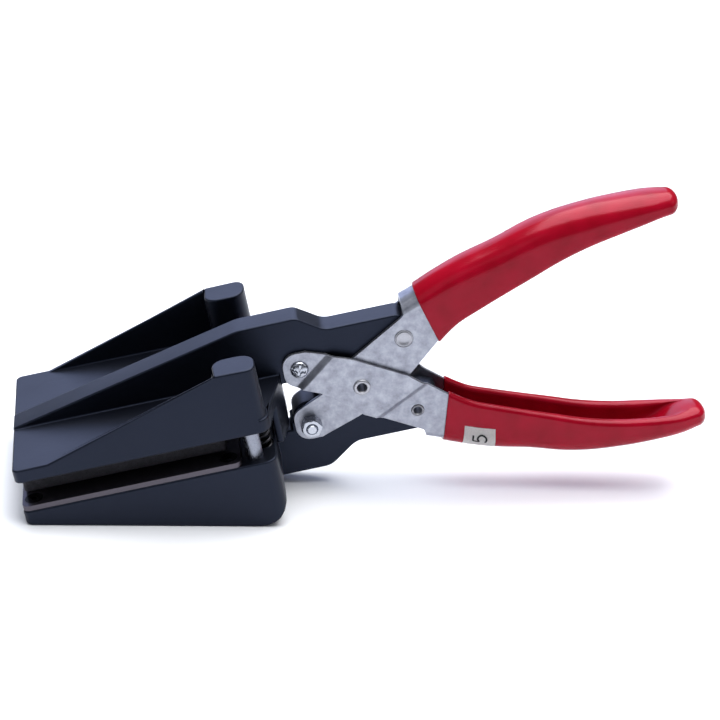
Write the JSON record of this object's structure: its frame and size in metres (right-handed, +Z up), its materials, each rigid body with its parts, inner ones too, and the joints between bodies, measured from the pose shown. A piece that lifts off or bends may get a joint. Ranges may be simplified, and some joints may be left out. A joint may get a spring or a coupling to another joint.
{
  "type": "plier-type die punch",
  "caption": "Hand punch with black cast jaws kept parallel by guide pins, a steel punch and die plate, scissor-linked steel handles and red dipped grips.",
  "frame": {"origin": "middle of the tool's box, on the surface that the lower jaw's flat base stands on", "axes": "+X from the jaws' nose towards the grips, +Y across the tool to the side of the lower pivot screw's head, +Z up from the base"},
  "size_m": [0.2661, 0.075, 0.1242],
  "materials": {
    "black_cast": "satin black stoved coat on a die casting",
    "die_steel": "dark ground tool steel",
    "tool_steel": "ground",
    "pad_rubber": "matte",
    "ground_steel": "ground",
    "bronze": "sintered bronze",
    "spring_steel": "oiled",
    "nickel_steel": "tumbled nickel plate",
    "red_grip": "gloss",
    "pin_steel": "satin",
    "zinc_steel": "bright zinc plate",
    "black_screw": "black oxide",
    "label_paper": "matte"
  },
  "bodies": {
    "lower_jaw": {"lower_jaw": "black_cast", "die_plate": "die_steel", "die_screw_1": "black_screw", "die_screw_2": "black_screw", "die_screw_3": "black_screw", "die_screw_4": "black_screw", "guide_pin_near": "ground_steel", "guide_pin_far": "ground_steel"},
    "upper_jaw": {"upper_jaw": "black_cast", "punch": "tool_steel", "punch_screw_front": "black_screw", "punch_screw_rear": "black_screw", "ejector_pad": "pad_rubber", "guide_bush_near": "bronze", "guide_bush_far": "bronze", "return_spring_near": "spring_steel", "return_spring_far": "spring_steel"},
    "upper_handle": {"handle_upper": "nickel_steel", "grip_upper": "red_grip", "slot_pin_upper": "pin_steel", "lower_pivot_screw": "zinc_steel", "lower_pivot_nut": "zinc_steel"},
    "lower_handle": {"handle_lower": "nickel_steel", "grip_lower": "red_grip", "slot_pin_lower": "pin_steel", "upper_pivot_screw": "zinc_steel", "upper_pivot_nut": "zinc_steel", "centre_rivet": "pin_steel", "label": "label_paper"}
  },
  "joints": [
    {"name": "upper_handle_pivot", "type": "hinge", "parent": "lower_jaw", "child": "upper_handle", "pos_m": [-0.02118, 0, 0.02756], "axis": [0, 1, 0], "range_deg": [0, 4.4]},
    {"name": "jaw_slide", "type": "slide", "parent": "lower_jaw", "child": "upper_jaw", "axis": [0.2453, 0, -0.9694], "range_m": [0, 0.00338], "stiffness_N_per_m": 4000, "springref_m": -0.004, "deforming": ["return_spring_near", "return_spring_far", "ejector_pad"]},
    {"name": "lower_handle_pivot", "type": "hinge", "parent": "upper_jaw", "child": "lower_handle", "pos_m": [-0.02697, 0, 0.05044], "axis": [0, -1, 0], "range_deg": [0, 4.41]}
  ],
  "couplings": [
    {"joint": "upper_handle_pivot", "follows": "jaw_slide", "rad_per_m": 22.695},
    {"joint": "lower_handle_pivot", "follows": "jaw_slide", "rad_per_m": 22.695}
  ]
}
